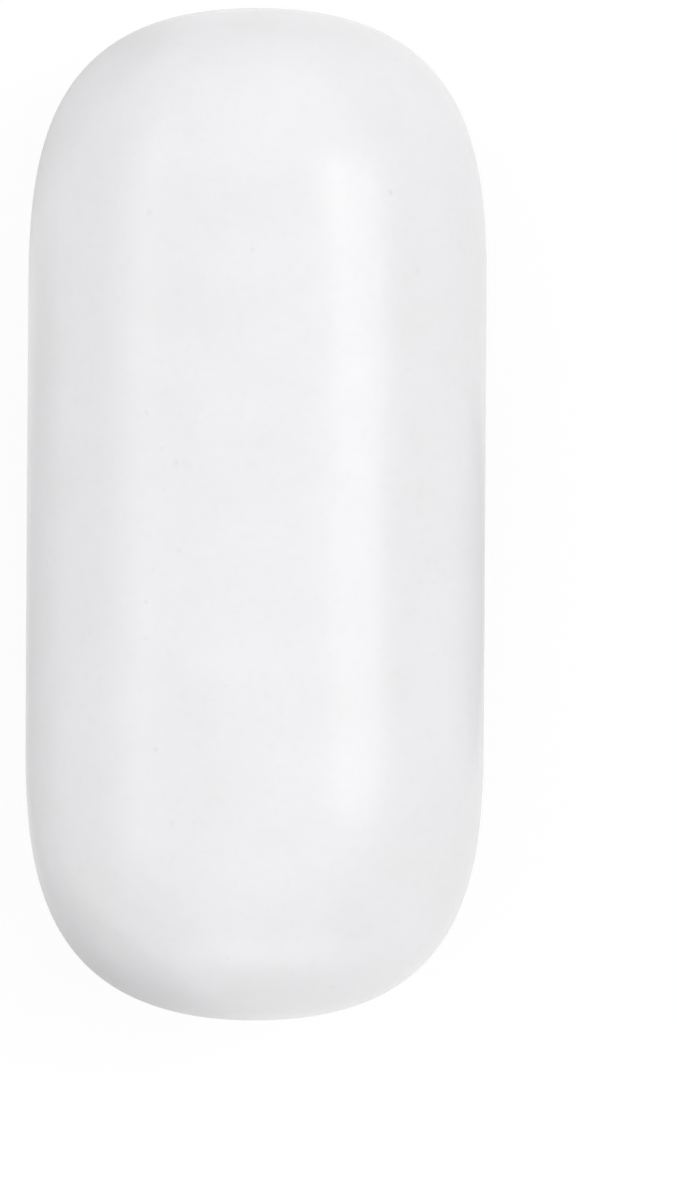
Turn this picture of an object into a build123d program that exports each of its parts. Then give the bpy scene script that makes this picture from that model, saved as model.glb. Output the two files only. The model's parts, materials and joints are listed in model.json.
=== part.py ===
from build123d import *
import os

# Magnetic stir bar: a bar magnet sealed inside a seamless capsule of white PTFE.
# The origin is the middle of the bar, on its axis. +Y runs along the bar, and +Z is up as it lies.
# All sizes are in millimetres.

# Outside of the capsule
bar_length = 7.0
bar_diameter = 3.17
end_length = 2.06  # each rounded end, from where the barrel stops being a true cylinder
shoulder_reach = 0.89  # how far the barrel's line leads an end before the shoulder turns in

# Inside of the capsule
barrel_wall = 0.565
end_wall = 0.98
pocket_clearance = 0.02  # all round the magnet, which the moulded plastic closes on
magnet_chamfer = 0.15

# Sizes that follow
barrel_radius = bar_diameter / 2
half_length = bar_length / 2
half_barrel = half_length - end_length
magnet_radius = barrel_radius - barrel_wall - pocket_clearance
magnet_length = bar_length - 2 * (end_wall + pocket_clearance)

# Magnet: a ground rod with both rims chamfered
with BuildPart(Plane.XZ) as bar_magnet:
    Cylinder(magnet_radius, magnet_length)
    chamfer(bar_magnet.edges().filter_by(GeomType.CIRCLE), magnet_chamfer)

# Jacket: the barrel and its rounded ends are one turned form, moulded shut round the magnet.
# Each end curve leaves the barrel without bending and meets the axis square, so no line shows
# where the barrel stops, and the tip is a shallow dome.
with BuildPart() as ptfe_jacket:
    with BuildSketch(Plane.XY):
        with BuildLine():
            barrel = Line((barrel_radius, -half_barrel), (barrel_radius, half_barrel))
            rounded_end = Bezier(
                barrel @ 1,
                (barrel_radius, half_barrel + shoulder_reach),
                (barrel_radius, half_length),
                (0, half_length),
            )
            mirror(rounded_end, about=Plane.XZ)
            Line((0, half_length), (0, -half_length))
        make_face()
    revolve(axis=Axis.Y)
    pocket = offset(
        bar_magnet.part, amount=pocket_clearance, kind=Kind.INTERSECTION, mode=Mode.PRIVATE
    )
    add(pocket, mode=Mode.SUBTRACT)

bar_magnet.part.label = "bar_magnet"
ptfe_jacket.part.label = "ptfe_jacket"

os.makedirs("parts", exist_ok=True)
export_step(bar_magnet.part, "parts/bar_magnet.step")
export_step(ptfe_jacket.part, "parts/ptfe_jacket.step")
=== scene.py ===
"""Magnetic stir bar: a white PTFE capsule with a bar magnet sealed inside, lying on a white floor."""

import json
import math

import bmesh
import bpy
from mathutils import Matrix, Vector, noise


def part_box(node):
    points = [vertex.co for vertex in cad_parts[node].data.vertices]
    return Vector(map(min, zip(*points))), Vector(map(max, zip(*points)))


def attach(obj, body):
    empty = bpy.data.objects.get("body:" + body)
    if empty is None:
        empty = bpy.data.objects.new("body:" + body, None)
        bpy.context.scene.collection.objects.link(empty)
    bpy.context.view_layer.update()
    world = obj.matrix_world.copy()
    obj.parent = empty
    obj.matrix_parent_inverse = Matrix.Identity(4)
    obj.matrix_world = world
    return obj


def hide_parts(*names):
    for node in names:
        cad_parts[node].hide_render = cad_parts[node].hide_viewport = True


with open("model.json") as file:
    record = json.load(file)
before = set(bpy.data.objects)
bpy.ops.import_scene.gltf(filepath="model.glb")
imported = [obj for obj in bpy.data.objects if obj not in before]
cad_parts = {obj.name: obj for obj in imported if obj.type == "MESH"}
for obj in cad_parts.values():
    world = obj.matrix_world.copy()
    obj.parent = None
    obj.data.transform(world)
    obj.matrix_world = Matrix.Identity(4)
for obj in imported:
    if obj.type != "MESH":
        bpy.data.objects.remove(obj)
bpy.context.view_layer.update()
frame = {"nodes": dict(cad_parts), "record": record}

MM = 0.001

# The capsule's sizes, as the frame holds them
jacket_low, jacket_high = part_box("ptfe_jacket")
magnet_low, magnet_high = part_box("bar_magnet")
barrel_mount = next(m for m in frame["record"]["mounts"] if m["name"] == "barrel")
RADIUS = barrel_mount["dims"]["r_mm"] * MM
HALF_BARREL = barrel_mount["dims"]["length_mm"] * MM / 2
HALF_LENGTH = (jacket_high.y - jacket_low.y) / 2
MAGNET_RADIUS = (magnet_high.x - magnet_low.x) / 2
MAGNET_HALF_LENGTH = (magnet_high.y - magnet_low.y) / 2

# Sizes that the frame doesn't hold, with the values of the part's source
SHOULDER_REACH = 0.89 * MM
MAGNET_CHAMFER = 0.15 * MM
POCKET_CLEARANCE = 0.02 * MM

# How far the moulded skin swells in or out, in waves a millimetre wide and in ripples on them
WAVE_SWELL = 1.2e-6
RIPPLE_SWELL = 0.8e-6

# The floor lies just under the highest swell of the skin, so that the skin doesn't come through it
FLOOR_Z = -RADIUS - WAVE_SWELL - RIPPLE_SWELL
FLOOR_SIZE = 3.0

# The photograph's frame and where the bar lies in it, in pixels
FRAME_WIDTH_PX, FRAME_HEIGHT_PX = 677, 1200
BAR_MIDDLE_PX = (256.1, 514.2)
BAR_LENGTH_PX = 1012.4
BAR_LEAN = math.radians(0.36)
CAMERA_DISTANCE = 0.12


# Camera: a long lens that looks straight down on the bar


def make_camera():
    metres_per_px = 2 * HALF_LENGTH / BAR_LENGTH_PX
    camera = bpy.data.cameras.new("camera")
    camera.sensor_fit = "AUTO"
    camera.sensor_width = 36.0
    camera.lens = camera.sensor_width * CAMERA_DISTANCE / (FRAME_HEIGHT_PX * metres_per_px)
    camera.clip_start = 0.01
    camera.clip_end = 10.0
    holder = bpy.data.objects.new("camera", camera)
    # The offset from the bar's middle to the frame's middle, turned by the lean
    right = (FRAME_WIDTH_PX / 2 - BAR_MIDDLE_PX[0]) * metres_per_px
    up = (BAR_MIDDLE_PX[1] - FRAME_HEIGHT_PX / 2) * metres_per_px
    c, s = math.cos(BAR_LEAN), math.sin(BAR_LEAN)
    holder.location = (right * c - up * s, right * s + up * c, CAMERA_DISTANCE)
    holder.rotation_euler = (0, 0, BAR_LEAN)
    bpy.context.scene.collection.objects.link(holder)
    bpy.context.scene.camera = holder


# The capsule's profile


def end_curve(t):
    """Radius and distance from the middle along one rounded end, from barrel (0) to tip (1)."""
    shoulder = HALF_BARREL + SHOULDER_REACH
    weights = ((1 - t) ** 3, 3 * (1 - t) ** 2 * t, 3 * (1 - t) * t**2, t**3)
    radii = (RADIUS, RADIUS, RADIUS, 0)
    places = (HALF_BARREL, shoulder, HALF_LENGTH, HALF_LENGTH)
    return (
        sum(w * r for w, r in zip(weights, radii)),
        sum(w * y for w, y in zip(weights, places)),
    )


# Radius and distance from the middle over half the bar, for looking up the radius at a place
SKIN_STEPS = 200
SKIN = [(RADIUS, 0.0)] + [end_curve(i / SKIN_STEPS) for i in range(SKIN_STEPS)]


# Materials


def new_tree(name):
    material = bpy.data.materials.new(name)
    material.use_nodes = True
    material.node_tree.nodes.clear()
    return material, material.node_tree


def add(tree, kind, sockets=None, **settings):
    """Adds a shader node. A socket takes a plain value or another node's output."""
    node = tree.nodes.new("ShaderNode" + kind)
    for name, value in settings.items():
        setattr(node, name, value)
    for key, value in (sockets or {}).items():
        if isinstance(value, bpy.types.NodeSocket):
            tree.links.new(value, node.inputs[key])
        else:
            node.inputs[key].default_value = value
    return node


# Specks in the PTFE, as the photograph shows them: millimetres along the bar, degrees round it from
# straight up towards +X, radius in micrometres, and how strongly each shows
DARK_SPECKS = (
    (2.20, 36, 22, 1.0),
    (1.67, 44, 34, 0.4),
    (1.80, -1, 16, 0.6),
    (2.05, -28, 24, 0.6),
    (0.68, -28, 20, 0.6),
    (0.44, -24, 16, 0.5),
    (0.34, -20, 20, 0.7),
    (0.15, -23, 14, 0.4),
    (-0.26, -19, 18, 0.5),
    (-0.39, -26, 13, 0.6),
    (-0.61, -28, 19, 0.6),
    (-0.86, -28, 19, 0.5),
    (-1.62, -25, 22, 0.8),
    (-2.12, -21, 20, 0.5),
    (-2.12, -15, 14, 0.4),
    (-3.05, -8, 22, 0.6),
    (-3.15, 14, 16, 0.6),
    (-3.25, 33, 26, 0.4),
)


def bigger(tree, one, other):
    """The larger of two values."""
    return add(tree, "Math", {0: one, 1: other}, operation="MAXIMUM").outputs[0]


def speck(tree, place, along, angle, radius_um, strength):
    """A soft round spot on the capsule's skin, from 0 around it to its strength inside."""
    radius = next(r for r, y in reversed(SKIN) if y <= abs(along) * MM) / MM
    a = math.radians(angle)
    middle = (radius * math.sin(a), along, radius * math.cos(a))
    away = add(tree, "VectorMath", {0: place, 1: middle}, operation="DISTANCE").outputs["Value"]
    reach = radius_um / 1000
    sockets = {"Value": away, 1: 0.35 * reach, 2: 1.3 * reach, 3: strength, 4: 0}
    return add(tree, "MapRange", sockets, interpolation_type="SMOOTHSTEP").outputs[0]


def sparse_specks(tree, place, per_mm, share, radius_um, strength):
    """Spots at random in a fine lattice: one in the given share of its cells."""
    cells = add(tree, "TexVoronoi", {"Vector": place, "Scale": per_mm}, feature="F1")
    reach = radius_um / 1000 * per_mm
    sockets = {"Value": cells.outputs["Distance"], 1: 0.4 * reach, 2: 1.2 * reach, 3: strength, 4: 0}
    spot = add(tree, "MapRange", sockets, interpolation_type="SMOOTHSTEP").outputs[0]
    pick = add(tree, "SeparateColor", {0: cells.outputs["Color"]}).outputs[0]
    chosen = add(tree, "Math", {0: pick, 1: share}, operation="LESS_THAN").outputs[0]
    return add(tree, "Math", {0: spot, 1: chosen}, operation="MULTIPLY").outputs[0]


def ptfe_material():
    """Moulded PTFE: a waxy white with faint clouds, a fine grain, a few specks and an uneven sheen."""
    material, tree = new_tree("ptfe")
    where = add(tree, "TexCoord").outputs["Object"]
    place = add(tree, "VectorMath", {0: where, "Scale": 1 / MM}, operation="SCALE").outputs[0]
    lengthwise = add(tree, "Mapping", {"Vector": place, "Scale": (1, 0.22, 1)}).outputs[0]

    clouds = add(tree, "TexNoise", {"Vector": place, "Scale": 1.3, "Detail": 3.0, "Roughness": 0.55})
    grain = add(tree, "TexNoise", {"Vector": place, "Scale": 14.0, "Detail": 4.0, "Roughness": 0.6})
    streaks = add(
        tree, "TexNoise", {"Vector": lengthwise, "Scale": 6.0, "Detail": 3.0, "Roughness": 0.6}
    )

    tone = add(tree, "ValToRGB", {0: clouds.outputs[0]})
    tone.color_ramp.elements[0].position = 0.3
    tone.color_ramp.elements[0].color = (0.855, 0.855, 0.866, 1)
    tone.color_ramp.elements[1].position = 0.7
    tone.color_ramp.elements[1].color = (0.885, 0.885, 0.904, 1)
    fleck = add(tree, "ValToRGB", {0: grain.outputs[0]})
    fleck.color_ramp.elements[0].position = 0.32
    fleck.color_ramp.elements[0].color = (0.985, 0.985, 0.985, 1)
    fleck.color_ramp.elements[1].position = 0.5
    fleck.color_ramp.elements[1].color = (1, 1, 1, 1)
    body = add(
        tree,
        "Mix",
        {0: 1.0, 6: tone.outputs[0], 7: fleck.outputs[0]},
        data_type="RGBA",
        blend_type="MULTIPLY",
    ).outputs[2]

    specks = sparse_specks(tree, place, 2.1, 0.12, 20, 0.8)
    specks = bigger(tree, specks, sparse_specks(tree, place, 5.3, 0.10, 13, 0.5))
    for spot in DARK_SPECKS:
        specks = bigger(tree, specks, speck(tree, place, *spot))
    colour = add(
        tree, "Mix", {0: specks, 6: body, 7: (0.80, 0.795, 0.785, 1)}, data_type="RGBA"
    ).outputs[2]

    sheen_range = {"Value": streaks.outputs[0], 1: 0.3, 2: 0.7, 3: 0.29, 4: 0.37}
    roughness = add(tree, "MapRange", sheen_range).outputs[0]
    waves = add(tree, "Bump", {"Height": streaks.outputs[0], "Distance": 1.5e-6, "Strength": 1.0})
    pits = {"Height": grain.outputs[0], "Distance": 0.8e-6, "Strength": 1.0, "Normal": waves.outputs[0]}
    skin = add(tree, "Bump", pits)

    shader = add(
        tree,
        "BsdfPrincipled",
        {
            "Base Color": colour,
            "Roughness": roughness,
            "IOR": 1.38,
            "Subsurface Weight": 0.15,
            "Subsurface Radius": (1, 1, 1),
            "Subsurface Scale": 0.05 * MM,
            "Coat Weight": 0.5,
            "Coat Roughness": 0.17,
            "Coat IOR": 1.38,
            "Normal": skin.outputs[0],
            "Coat Normal": waves.outputs[0],
        },
        subsurface_method="BURLEY",
    )
    add(tree, "OutputMaterial", {"Surface": shader.outputs[0]})
    return material


def magnet_material():
    """Ground alnico: fine grinding lines along the rod over a slightly blotchy grey."""
    material, tree = new_tree("ground_alnico")
    where = add(tree, "TexCoord").outputs["Object"]
    place = add(tree, "VectorMath", {0: where, "Scale": 1 / MM}, operation="SCALE").outputs[0]
    lengthwise = add(tree, "Mapping", {"Vector": place, "Scale": (9, 0.3, 9)}).outputs[0]
    lines = add(tree, "TexNoise", {"Vector": lengthwise, "Scale": 1.5, "Detail": 4.0, "Roughness": 0.65})
    blotches = add(tree, "TexNoise", {"Vector": place, "Scale": 2.2, "Detail": 4.0})
    mixed = add(
        tree, "Mix", {0: 0.35, 2: blotches.outputs[0], 3: lines.outputs[0]}, data_type="FLOAT"
    )
    tone = add(tree, "ValToRGB", {0: mixed.outputs[0]})
    tone.color_ramp.elements[0].position = 0.35
    tone.color_ramp.elements[0].color = (0.36, 0.35, 0.34, 1)
    tone.color_ramp.elements[1].position = 0.65
    tone.color_ramp.elements[1].color = (0.48, 0.47, 0.46, 1)
    sheen_range = {"Value": lines.outputs[0], 1: 0.3, 2: 0.7, 3: 0.28, 4: 0.48}
    roughness = add(tree, "MapRange", sheen_range).outputs[0]
    bump = {"Height": lines.outputs[0], "Distance": 1.2e-6, "Strength": 1.0}
    sockets = {"Base Color": tone.outputs[0], "Metallic": 1.0, "Roughness": roughness}
    sockets["Normal"] = add(tree, "Bump", bump).outputs[0]
    shader = add(tree, "BsdfPrincipled", sockets)
    add(tree, "OutputMaterial", {"Surface": shader.outputs[0]})
    return material


# Shares of the floor's white that shade with the light: bounced on to the bar, mirrored in it, and seen
BOUNCE_SHARE = 0.42
GLOSS_SHARE = 0.75
SEEN_SHARE = 0.15
# How bright the open floor's shaded share comes out, which its glow makes up to white
FLOOR_LIGHT = 0.88
# The floor is white to the first of these distances from the bar's middle, in millimetres, and past
# the second it is greyer by the fade, as is the backdrop
WHITE_REACH = (6.0, 16.0)
WHITE_FADE = 0.1
# How white the backdrop is in mirrored light: less than to the camera, so that the rims don't clip
MIRRORED_WHITE = 0.75


# Painted shadows: dark oval patches in the floor, in the bar's mirrored and bounced light and not in the
# camera's, standing in for the shade of the bar's own shadow beside it: millimetres along X and Y, half
# length and half width, the turn of the length from +X in degrees, and how dark
FLOOR_PAINTED_SHADOWS = (
    (-7.2, -9.6, 8.5, 3.0, 44, 0.9),
    (3.0, -0.45, 1.3, 1.0, 90, 0.3),
    (-4.4, 6.2, 5.0, 2.2, -52, 0.33),
    (-4.2, -1.5, 3.8, 2.0, 90, 0.36),
)
# The colour of the painted shadows
PAINTED_SHADOW_COLOUR = (0.05, 0.05, 0.05, 1)


def painted_shadow_mask(tree, place, x, y, half_length, half_width, turn, darkness):
    """How dark an oval patch of painted shadow makes each place on the floor, falling softly to 0 past
    its edge.
    """
    sockets = {"Vector": place, "Location": (x, y, 0), "Rotation": (0, 0, math.radians(turn))}
    sockets["Scale"] = (half_length, half_width, 1)
    local = add(tree, "Mapping", sockets, vector_type="TEXTURE").outputs[0]
    flat = add(tree, "VectorMath", {0: local, 1: (1, 1, 0)}, operation="MULTIPLY").outputs[0]
    away = add(tree, "VectorMath", {0: flat}, operation="LENGTH").outputs["Value"]
    sockets = {"Value": away, 1: 0.8, 2: 1.2, 3: darkness, 4: 0}
    return add(tree, "MapRange", sockets, interpolation_type="SMOOTHSTEP").outputs[0]


def floor_material():
    """A white floor. Seen or mirrored, it glows up to white and keeps a share of the bar's shadow."""
    material, tree = new_tree("floor")
    path = add(tree, "LightPath")
    where = add(tree, "TexCoord").outputs["Object"]
    place = add(tree, "VectorMath", {0: where, "Scale": 1 / MM}, operation="SCALE").outputs[0]

    away = add(tree, "VectorMath", {0: place}, operation="LENGTH").outputs["Value"]
    near, far = WHITE_REACH

    def whiter(surface, share, ray, fade):
        """Makes the floor glow for one kind of ray, with a share of its white left to the light."""
        shaded = add(tree, "BsdfDiffuse", {"Color": (share,) * 3 + (1,)})
        full = 1 - share * FLOOR_LIGHT
        sockets = {"Value": away, 1: near, 2: far, 3: full, 4: full - fade}
        level = add(tree, "MapRange", sockets, interpolation_type="SMOOTHSTEP").outputs[0]
        glow = add(tree, "Emission", {"Strength": level})
        white = add(tree, "AddShader", {0: shaded.outputs[0], 1: glow.outputs[0]})
        sockets = {0: path.outputs[ray], 1: surface.outputs[0], 2: white.outputs[0]}
        return add(tree, "MixShader", sockets)

    surface = add(tree, "BsdfDiffuse", {"Color": (BOUNCE_SHARE,) * 3 + (1,)})
    surface = whiter(surface, GLOSS_SHARE, "Is Glossy Ray", 0)
    # Painted shadows: the floor darkens in oval patches for light bounced on to the bar and mirrored in
    # it, not for the camera
    for painted_patch in FLOOR_PAINTED_SHADOWS:
        dark = add(tree, "BsdfDiffuse", {"Color": PAINTED_SHADOW_COLOUR})
        mask = painted_shadow_mask(tree, place, *painted_patch)
        surface = add(tree, "MixShader", {0: mask, 1: surface.outputs[0], 2: dark.outputs[0]})
    surface = whiter(surface, SEEN_SHARE, "Is Camera Ray", WHITE_FADE)
    surface = whiter(surface, SEEN_SHARE, "Is Transmission Ray", WHITE_FADE)
    add(tree, "OutputMaterial", {"Surface": surface.outputs[0]})
    return material


# Capsule

CAPSULE_SIDES = 240
POCKET_SIDES = 64


def capsule_profile(barrel_rings=64, end_rings=56):
    end = [end_curve(i / end_rings) for i in range(end_rings + 1)]
    barrel = [
        (RADIUS, HALF_BARREL * (2 * i / barrel_rings - 1)) for i in range(1, barrel_rings)
    ]
    return [(r, -y) for r, y in reversed(end)] + barrel + end


def pocket_profile():
    r = MAGNET_RADIUS + POCKET_CLEARANCE
    y = MAGNET_HALF_LENGTH + POCKET_CLEARANCE
    c = MAGNET_CHAMFER
    return [(0, -y), (r - c, -y), (r, -y + c), (r, y - c), (r - c, y), (0, y)]


def turned_form(mesh, profile, sides, inward=False):
    """Turns a profile round Y into the bmesh. The profile's first and last points lie on the axis."""
    turn = [2 * math.pi * k / sides for k in range(sides)]
    rings = []
    for radius, y in profile:
        if radius < 1e-9:
            rings.append([mesh.verts.new((0, y, 0))])
            continue
        rings.append([mesh.verts.new((radius * math.cos(a), y, radius * math.sin(a))) for a in turn])
    faces = []
    for low, high in zip(rings, rings[1:]):
        for k in range(sides):
            n = (k + 1) % sides
            corners = [low[k % len(low)], high[k % len(high)], high[n % len(high)], low[n % len(low)]]
            corners = list(dict.fromkeys(corners))
            faces.append(mesh.faces.new(corners[::-1] if inward else corners))
    return faces


def roughen(vert):
    """Moves a point of the skin in or out by a micrometre or two, as the moulding left it."""
    place = vert.co / MM
    wave = WAVE_SWELL * noise.noise(place * 1.1)
    ripple = RIPPLE_SWELL * noise.noise(place * 4.3 + Vector((7, 3, 5)))
    vert.co += (wave + ripple) * vert.normal


def make_capsule(material):
    """The visible jacket: the capsule with its uneven skin, and the magnet's pocket inside."""
    mesh = bmesh.new()
    for face in turned_form(mesh, capsule_profile(), CAPSULE_SIDES):
        face.smooth = True
    mesh.normal_update()
    for vert in mesh.verts:
        roughen(vert)
    turned_form(mesh, pocket_profile(), POCKET_SIDES, inward=True)
    data = bpy.data.meshes.new("capsule")
    mesh.to_mesh(data)
    mesh.free()
    capsule = bpy.data.objects.new("capsule", data)
    bpy.context.scene.collection.objects.link(capsule)
    data.materials.append(material)
    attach(capsule, "root")
    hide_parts("ptfe_jacket")


# Floor and light


def make_floor():
    mesh = bmesh.new()
    bmesh.ops.create_grid(mesh, x_segments=1, y_segments=1, size=FLOOR_SIZE / 2)
    data = bpy.data.meshes.new("floor")
    mesh.to_mesh(data)
    mesh.free()
    floor = bpy.data.objects.new("floor", data)
    floor.location.z = FLOOR_Z
    bpy.context.scene.collection.objects.link(floor)
    data.materials.append(floor_material())


# The radiance of the world, all round
WORLD_LIGHT = 0.636


def make_world():
    """Plain light from all round, that the camera, mirrors and glass see as the pale backdrop."""
    world = bpy.data.worlds.new("studio")
    world.use_nodes = True
    tree = world.node_tree
    tree.nodes.clear()
    path = add(tree, "LightPath")
    surface = add(tree, "Background", {"Color": (1, 1, 1, 1), "Strength": WORLD_LIGHT})
    for ray, white in (
        ("Is Camera Ray", 1 - WHITE_FADE),
        ("Is Glossy Ray", MIRRORED_WHITE),
        ("Is Transmission Ray", 1 - WHITE_FADE),
    ):
        backdrop = add(tree, "Background", {"Color": (1, 1, 1, 1), "Strength": white})
        sockets = {0: path.outputs[ray], 1: surface.outputs[0], 2: backdrop.outputs[0]}
        surface = add(tree, "MixShader", sockets)
    add(tree, "OutputWorld", {"Surface": surface.outputs[0]})
    bpy.context.scene.world = world


LAMP_DISTANCE = 0.3
# Each lamp's name, degrees round the bar from straight up towards +X, degrees from there towards +Y,
# width and length in degrees, and radiance
LAMPS = (
    ("strip_box", 52, 8, 29, 36, 2.42),
    ("strip_core", 38, 18, 14, 18, 2.1),
    ("edge_strip", -62, 14, 2.5, 60, 2.8),
    ("edge_line", -55.5, 14, 1.4, 60, 5.5),
    ("left_box", -60, 2, 36, 60, 0.68),
    ("top_box", 8, 62, 66, 44, 0.54),
    ("low_box", 14, -81, 56, 30, 1.45),
)


def make_lamp(name, across, along, width, length, radiance):
    """A soft rectangle that faces the bar. Its place and its size are in degrees as the bar sees them."""
    a, b = math.radians(across), math.radians(along)
    out = Vector((math.sin(a) * math.cos(b), math.sin(b), math.cos(a) * math.cos(b)))
    light = bpy.data.lights.new(name, "AREA")
    light.shape = "RECTANGLE"
    light.size = 2 * LAMP_DISTANCE * math.tan(math.radians(width) / 2)
    light.size_y = 2 * LAMP_DISTANCE * math.tan(math.radians(length) / 2)
    light.energy = math.pi * light.size * light.size_y * radiance
    lamp = bpy.data.objects.new(name, light)
    lengthwise = (Vector((0, 1, 0)) - out * out.y).normalized()
    facing = Matrix((lengthwise.cross(out), lengthwise, out)).transposed().to_4x4()
    lamp.matrix_world = Matrix.Translation(out * LAMP_DISTANCE) @ facing
    lamp.visible_camera = False
    bpy.context.scene.collection.objects.link(lamp)


make_camera()
make_capsule(ptfe_material())
magnet = frame["nodes"]["bar_magnet"]
magnet.material_slots[0].material = magnet_material()
make_floor()
make_world()
for lamp in LAMPS:
    make_lamp(*lamp)
bpy.context.scene.view_settings.view_transform = "Standard"
